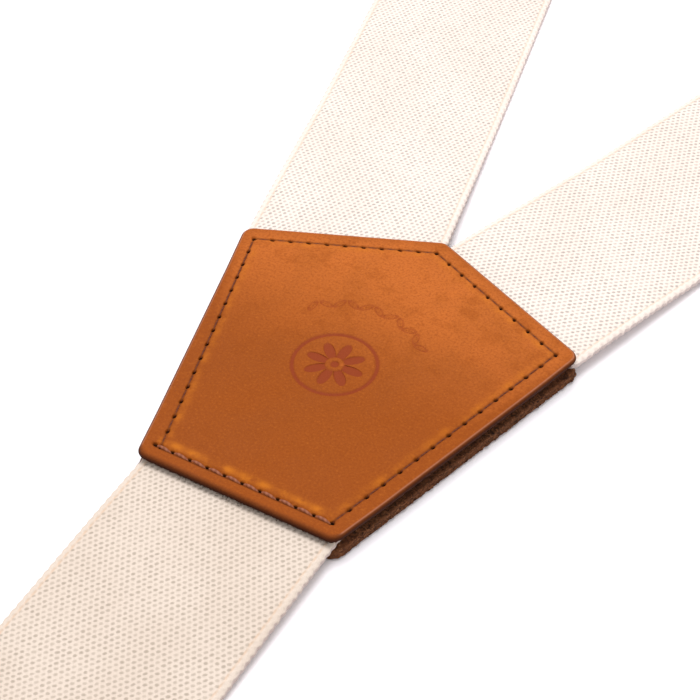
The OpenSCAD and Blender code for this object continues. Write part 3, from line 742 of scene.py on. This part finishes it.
def thread_tubes(name, runs, sides=10, steps=12):
    """Short lengths of thread; each run has its two ends, the arch over the leather and its radius."""
    points, faces, uv = [], [], []
    for start, end, arch, radius in runs:
        start, end = np.array(start, float), np.array(end, float)
        along = (end - start) / np.linalg.norm(end - start)
        side = np.cross(along, [0, 0, 1])
        first = len(points)
        for k in range(steps + 1):
            t = k / steps
            rise = arch * sin(pi * t) ** 0.7
            middle = start + (end - start) * t + np.array([0, 0, rise])
            fat = radius * (0.62 + 0.38 * sin(pi * t) ** 0.5)
            for c in range(sides):
                a = 2 * pi * c / sides
                points.append(middle + fat * (cos(a) * side + sin(a) * np.array([0, 0, 1])))
                uv.append((c / sides, t * np.linalg.norm(end - start)))
        faces += [tuple(reversed(f)) for f in grid_faces(steps + 1, sides, True, first)]
        faces.append(tuple(range(first, first + sides)))
        faces.append(tuple(reversed(range(first + steps * sides, first + (steps + 1) * sides))))
    return mesh_object(name, points, faces, uv=uv)


HOLE_CLEAR = 0.22  # from a hole's middle to where the thread comes up


def seam_runs(z_face, up, lower):
    """The stitches of one face: the heavier thread of the lower side, or the fine thread of the others."""
    runs = []
    radius, sink, arch = (0.29, 0.42, 0.36) if lower else (0.15, 0.30, 0.26)
    for i, (start, along, pitch, count) in enumerate(STITCHES):
        if (i == LOWER_SIDE) != lower:
            continue
        across = np.array([along[1], -along[0]]) * (0.16 if lower else 0.05)
        for k in range(count):
            a = start + along * (k * pitch + HOLE_CLEAR) - across
            b = start + along * ((k + 1) * pitch - HOLE_CLEAR) + across
            z = z_face - up * (sink + 0.2)
            runs.append(((a[0], a[1], z), (b[0], b[1], z), up * arch, radius))
    return runs


for face, z_face, up in (("front", PATCH_TOP, 1), ("back", 0.0, -1)):
    for kind, lower, thread in (("lower", True, BROWN_THREAD), ("side", False, DARK_THREAD)):
        if face == "back" and not lower:
            thread = BROWN_THREAD
        seam = dress(thread_tubes(f"{face}_{kind}_seam_thread", seam_runs(z_face, up, lower)), thread)
        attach(seam, "root")
        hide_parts(f"{face}_stitching")

# ---- webbing ----


def ease(p, q, steps=10):
    return [(p[0] + (q[0] - p[0]) * k / steps, p[1] + (q[1] - p[1]) * float(smooth(k / steps)))
            for k in range(steps + 1)]


def arc(centre, r, start, end, steps=24):
    return [(centre[0] + r * cos(radians(start + (end - start) * k / steps)),
             centre[1] + r * sin(radians(start + (end - start) * k / steps))) for k in range(steps + 1)]


INNER_FOLD_R = (RUN_C_Z - RUN_B_Z) / 2
RUN_C_FROM = INNER_FOLD + INNER_FOLD_R
TAIL_FROM = FRONT_BAR - 14.0
TAIL_SHORT = 0.8  # how far the tail ends inside the adjuster's frame

lying_path = (
    [(-SEWN_IN, PATCH_STRAP_Z)]
    + ease((0.5, PATCH_STRAP_Z), (DROP_L, RUN_A_Z))
    + arc((OUTER_FOLD - OUTER_FOLD_R - HALF_T, RUN_A_Z + OUTER_FOLD_R), OUTER_FOLD_R, -90, 90)
    + ease((OUTER_FOLD - 5, RUN_A_Z + 2 * OUTER_FOLD_R), (OUTER_FOLD - 25, RUN_B_Z))
    + arc((INNER_FOLD + INNER_FOLD_R, RUN_B_Z + INNER_FOLD_R), INNER_FOLD_R, 270, 90)
)
upper_path = [(RUN_C_FROM, RUN_C_Z), (TAIL_FROM, RUN_C_Z)]
tail_path = (
    [(TAIL_FROM, RUN_C_Z)]
    + arc((FRONT_BAR, FRONT_BAR_Z), TURN_R, 90, -90)
    + [(ADJUSTER_AT - ADJUSTER_L / 2 + TAIL_SHORT, TAIL_Z)]
)
back_path = (
    [(-PATCH_BASE + 1, PATCH_STRAP_Z)]
    + ease((0.5, PATCH_STRAP_Z), (DROP_L, RUN_A_Z))
    + ease((BACK_BAR - TURNED_L - 12, RUN_A_Z), (BACK_BAR - TURNED_L - 2, SEWN_Z))
    + ease((BACK_BAR - 12, SEWN_Z), (BACK_BAR - 1, BACK_BAR_Z + TURN_R))
    + arc((BACK_BAR, BACK_BAR_Z), TURN_R, 90, -90)
    + [(BACK_BAR - TURNED_L, RUN_A_Z)]
)


def path_length(path):
    return float(np.hypot(*np.diff(np.array(path), axis=0).T).sum())


LINE_AT = 16.25  # from the strap's middle to the line beside its selvedge
SELVEDGE_AT = 16.9
EDGE_THINNER = 0.06


def webbing_section():
    """The webbing's cross-section: flat faces, a stitched line near each edge and a rounded selvedge."""
    half, thick = STRAP_W / 2, HALF_T
    top = []
    near_edge = np.array([16.0, LINE_AT, 16.5, SELVEDGE_AT])
    for x in np.concatenate([-near_edge[::-1], np.linspace(-15.4, 15.4, 17), near_edge]):
        dip = 0.09 * fade(abs(x) - LINE_AT, 0.22)
        top.append((x, thick - dip - EDGE_THINNER * smooth((abs(x) - 15.5) / 1.5)))
    round_r = thick - EDGE_THINNER
    end = [(half - round_r + round_r * sin(radians(a)), round_r * cos(radians(a)))
           for a in range(20, 161, 20)]
    ring = top + end + [(-x, -z) for x, z in top] + [(-x, -z) for x, z in end]
    return np.array(ring)


SECTION = webbing_section()


LEFT_SIDE = 4
HALVINGS = 30


def side_limit(splay, s):
    """The room that a front strap's sewn end has across itself, at distance s from the patch's tip."""
    a = radians(splay)
    inner = STRAP_W / 2 + min(0.0, (-0.1 + s * sin(a)) / cos(a))
    start, _, inward, _ = EDGES[LEFT_SIDE]
    low, high = -STRAP_W / 2, STRAP_W / 2
    for _ in range(HALVINGS):
        x = (low + high) / 2
        world = np.array([(x - STRAP_W / 2) * cos(a) - s * sin(a),
                          (x - STRAP_W / 2) * sin(a) + s * cos(a) + PATCH_TIP])
        if (world - start) @ inward < SEWN_TRIM:
            low = x
        else:
            high = x
    return low + (-STRAP_W / 2 - low) * float(smooth((s + 6.8) / 2.2)), inner


END_RING = 0.05  # a ring this close to each end keeps the end's edge crisp
FINE_STEP = 0.2
BEND_STEP = 0.4
LONG_STEP = 2.5
REACH = 0.15  # how far each way the path's direction is read
SCALLOP = 0.08  # the weft's turns at the selvedge, seen only near the patch
SCALLOP_PITCH = 1.6


def webbing(name, path, place, material, fine_to=0.0, limits=None, v_start=0.0):
    """Sweeps the section along a path in (distance, height); place puts (x, y, z) in the row frame."""
    path = np.array(path)
    run = np.concatenate([[0], np.cumsum(np.hypot(*np.diff(path, axis=0).T))])
    stops = [0.0]
    while stops[-1] < run[-1] - 1e-6:
        here = stops[-1]
        lo, hi = np.interp(here - 3, run, path[:, 1]), np.interp(here + 3, run, path[:, 1])
        bending = abs(hi - lo) > 0.02
        step = FINE_STEP if here < fine_to else (BEND_STEP if bending else LONG_STEP)
        stops.append(min(here + step, run[-1]))
    inner = [s for s in stops if 2 * END_RING < s < run[-1] - 2 * END_RING]
    stops = np.array([0.0, END_RING, *inner, run[-1] - END_RING, run[-1]])
    centre = np.stack([np.interp(stops, run, path[:, k]) for k in (0, 1)], axis=1)
    ahead = np.stack([np.interp(stops + REACH, run, path[:, k]) for k in (0, 1)], axis=1)
    behind = np.stack([np.interp(stops - REACH, run, path[:, k]) for k in (0, 1)], axis=1)
    along = (ahead - behind) / np.hypot(*(ahead - behind).T)[:, None]
    normal = np.column_stack([-along[:, 1], along[:, 0]])
    points, uv = [], []
    for k, stop in enumerate(stops):
        x, n = SECTION[:, 0].copy(), SECTION[:, 1]
        scallop = SCALLOP * cos(2 * pi * (v_start + stop) / SCALLOP_PITCH) if stop < fine_to else 0.0
        x = x + np.sign(x) * scallop * smooth((np.abs(x) - SELVEDGE_AT) / 0.6)
        if limits is not None:
            under_patch = centre[k, 0] < 0
            low, high = limits(centre[k, 0]) if under_patch else (-STRAP_W / 2, STRAP_W / 2)
            x = low + (x + STRAP_W / 2) * (high - low) / STRAP_W
        for xi, ni in zip(x, n):
            points.append(place(xi, centre[k, 0] + normal[k, 0] * ni, centre[k, 1] + normal[k, 1] * ni))
        uv += [(xi, v_start + stop) for xi in SECTION[:, 0]]
    columns = len(SECTION)
    faces = [tuple(reversed(f)) for f in grid_faces(len(stops), columns, True)]
    faces.append(tuple(range(columns)))
    faces.append(tuple(reversed(range((len(stops) - 1) * columns, len(stops) * columns))))
    return dress(mesh_object(name, points, faces, uv=uv, flat_ends=2), material)


def turned(splay, shift, x, y, z):
    a = radians(splay)
    return ((x + shift) * cos(a) - y * sin(a), (x + shift) * sin(a) + y * cos(a) + PATCH_TIP, z)


def left_place(x, y, z):
    return turned(LEFT_SPLAY, -STRAP_W / 2, x, y, z)


def right_place(x, y, z):
    return turned(-RIGHT_SPLAY, STRAP_W / 2, x, y, z)


def back_place(x, y, z):
    return (-x, -PATCH_BASE - y, z)


def right_limits(s):
    low, high = side_limit(RIGHT_SPLAY, s)
    return -high, -low


def left_limits(s):
    return side_limit(LEFT_SPLAY, s)


for side, place, limits in (("left", left_place, left_limits), ("right", right_place, right_limits)):
    lying = webbing(f"{side}_strap_lying_runs", lying_path, place, FRONT_WEBBING, fine_to=150.0,
                    limits=limits)
    upper = webbing(f"{side}_strap_upper_run", upper_path, place, FRONT_WEBBING,
                    v_start=path_length(lying_path))
    tail = webbing(f"{side}_strap_tail_turn", tail_path, place, FRONT_WEBBING,
                   v_start=path_length(lying_path) + path_length(upper_path))
    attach(lying, "root")
    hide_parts(f"{side}_strap")
    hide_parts(f"{side}_strap")
    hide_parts(f"{side}_strap_tail")
    start, end = place(0, RUN_C_FROM + 2, RUN_C_Z), place(0, TAIL_FROM - 2, RUN_C_Z)
    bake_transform(upper)
    start, end = place(0, TAIL_FROM - 1, TAIL_Z), place(0, ADJUSTER_AT - 2, TAIL_Z)
    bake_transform(tail)

back_band = webbing("back_strap_band", back_path, back_place, SHADED_BACK_WEBBING, fine_to=130.0)
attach(back_band, "root")
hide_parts("back_strap")

# ---- the sewn end of the back strap ----

TURN_ROWS = (BACK_BAR - TURNED_L + 3, BACK_BAR - 14)
TURN_STITCHES = 10
TURN_PITCH = (STRAP_W - 5) / TURN_STITCHES


def turned_end_runs():
    """Two rows of stitches across the strap, seen on its top and on its underside."""
    runs = []
    for row in TURN_ROWS:
        for k in range(TURN_STITCHES):
            middle = (k + 0.5 - TURN_STITCHES / 2) * TURN_PITCH
            for z, rise in ((SEWN_Z + HALF_T - 0.12, 0.26), (0.22, -0.12)):
                start = back_place(middle - TURN_PITCH / 2 + 0.2, row, z)
                end = back_place(middle + TURN_PITCH / 2 - 0.2, row, z)
                runs.append((start, end, rise, 0.2))
    return runs


turned_seam = dress(thread_tubes("back_strap_turned_seam", turned_end_runs()), CREAM_THREAD)
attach(turned_seam, "root")
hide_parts("back_strap_stitching")

# ---- hardware ----

CLIP_PIN_U = 25.0
CLIP_PIN_Z = 3.6
COIL_R = 1.7
WIRE_R = 0.35
COIL_HALF = 4.0
COIL_TURNS = 10.5
PLATE_T = 0.8
LEVER_TOP = 6.2
UNDER_LEVER = 0.85  # from the lever's top face down to the middle of the wire that presses on it
LOWER_LEG_L = 11.0
UPPER_LEG_L = 9.0
LEG_STEPS = 8
COIL_STEPS = 24


def wire(name, path, radius, sides=12):
    """A round wire swept along a path of points."""
    path = np.array(path, float)
    tangents = np.gradient(path, axis=0)
    tangents /= np.linalg.norm(tangents, axis=1)[:, None]
    side = np.cross(tangents[0], [0.37, 0.21, 0.91])
    points = []
    for at, along in zip(path, tangents):
        side = side - along * (side @ along)
        side /= np.linalg.norm(side)
        other = np.cross(along, side)
        points += [at + radius * (cos(2 * pi * c / sides) * side + sin(2 * pi * c / sides) * other)
                   for c in range(sides)]
    last = (len(path) - 1) * sides
    faces = grid_faces(len(path), sides, True)
    faces += [tuple(reversed(range(sides))), tuple(range(last, last + sides))]
    return mesh_object(name, points, faces, flat_ends=2)


def clip_spring(name, place, bar, bar_z):
    """The torsion spring: its coil and lower leg stay with the frame, its upper leg goes with the lever."""
    def at(x, u, w):
        return place(x, bar + u, bar_z + w)

    end_x = COIL_HALF - WIRE_R
    foot_w = PLATE_T / 2 + WIRE_R
    lower_leg = [at(-end_x, CLIP_PIN_U - LOWER_LEG_L + LOWER_LEG_L * k / LEG_STEPS,
                    foot_w + (CLIP_PIN_Z - COIL_R - foot_w) * k / LEG_STEPS) for k in range(LEG_STEPS)]
    steps = int(COIL_TURNS * COIL_STEPS)
    coil = []
    for k in range(steps + 1):
        turn = -pi / 2 + 2 * pi * k / COIL_STEPS
        coil.append(at(-end_x + 2 * end_x * k / (COIL_TURNS * COIL_STEPS), CLIP_PIN_U + COIL_R * cos(turn),
                       CLIP_PIN_Z + COIL_R * sin(turn)))
    leg_w = CLIP_PIN_Z + COIL_R
    upper_leg = [at(end_x, CLIP_PIN_U - UPPER_LEG_L * k / LEG_STEPS,
                    leg_w + (LEVER_TOP - UNDER_LEVER - leg_w) * k / LEG_STEPS) for k in range(LEG_STEPS + 1)]
    parts = (("coil", lower_leg + coil, f"{name}_clip"), ("leg", upper_leg, f"{name}_clip_lever"))
    for kind, path, body in parts:
        made = dress(wire(f"{name}_clip_spring_{kind}", path, WIRE_R), WIRE)
        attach(made, body)
        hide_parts(f"{name}_clip_spring")


clip_spring("left", left_place, FRONT_BAR, FRONT_BAR_Z)
clip_spring("right", right_place, FRONT_BAR, FRONT_BAR_Z)
clip_spring("back", back_place, BACK_BAR, BACK_BAR_Z)

for name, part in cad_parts.items():
    if "pad" in name:
        dress(part, NYLON)
    elif "clip" in name or "adjuster" in name:
        dress(part, NICKEL)

# ---- stage and light ----


def pale_floor():
    """A white paper sweep, with a tone that changes hardly at all over 25 mm."""
    material, add = new_material("white_paper_sweep")
    place = add("TexCoord").outputs["Object"]
    grain = add("TexNoise", {"Vector": place, "Scale": cells(25.0)})
    base = add("Mix", {0: grain, 6: linear("#faf6fb"), 7: linear("#fdfafd")}, data_type="RGBA")
    shader = add("BsdfPrincipled", {"Base Color": base, "Roughness": 0.9, "Specular IOR Level": 0.1})
    add("OutputMaterial", {"Surface": shader})
    return material


FLOOR_REACH = 3000.0
FLOOR_GAP = 0.05  # the floor lies this far below the part, so that the two don't share a plane
floor_corners = [(x * FLOOR_REACH, y * FLOOR_REACH, 0) for x, y in ((-1, -1), (1, -1), (1, 1), (-1, 1))]
floor = mesh_object("floor", floor_corners, [(0, 1, 2, 3)], flat_ends=1)
floor.location.z = -FLOOR_GAP * MM
dress(floor, pale_floor())


def softbox(name, at, aim, size, power):
    """A round soft light, in metres and watts, turned to its aim."""
    data = bpy.data.lights.new(name, "AREA")
    data.shape = "DISK"
    data.size = size
    data.energy = power
    made = bpy.data.objects.new(name, data)
    made.location = at
    made.rotation_euler = (Vector(aim) - Vector(at)).to_track_quat("-Z", "Y").to_euler()
    bpy.context.scene.collection.objects.link(made)


softbox("key_light", (-0.17, 0.28, 1.08), (0, 0.05, 0), 0.9, 11.4)
softbox("front_fill", (0.5, -0.6, 0.9), (0, 0.0, 0), 1.0, 2.0)
world = bpy.data.worlds.new("studio")
world.use_nodes = True
world.node_tree.nodes["Background"].inputs["Color"].default_value = (1.0, 1.0, 1.0, 1.0)
world.node_tree.nodes["Background"].inputs["Strength"].default_value = 0.62
bpy.context.scene.world = world
bpy.context.scene.view_settings.view_transform = "Standard"
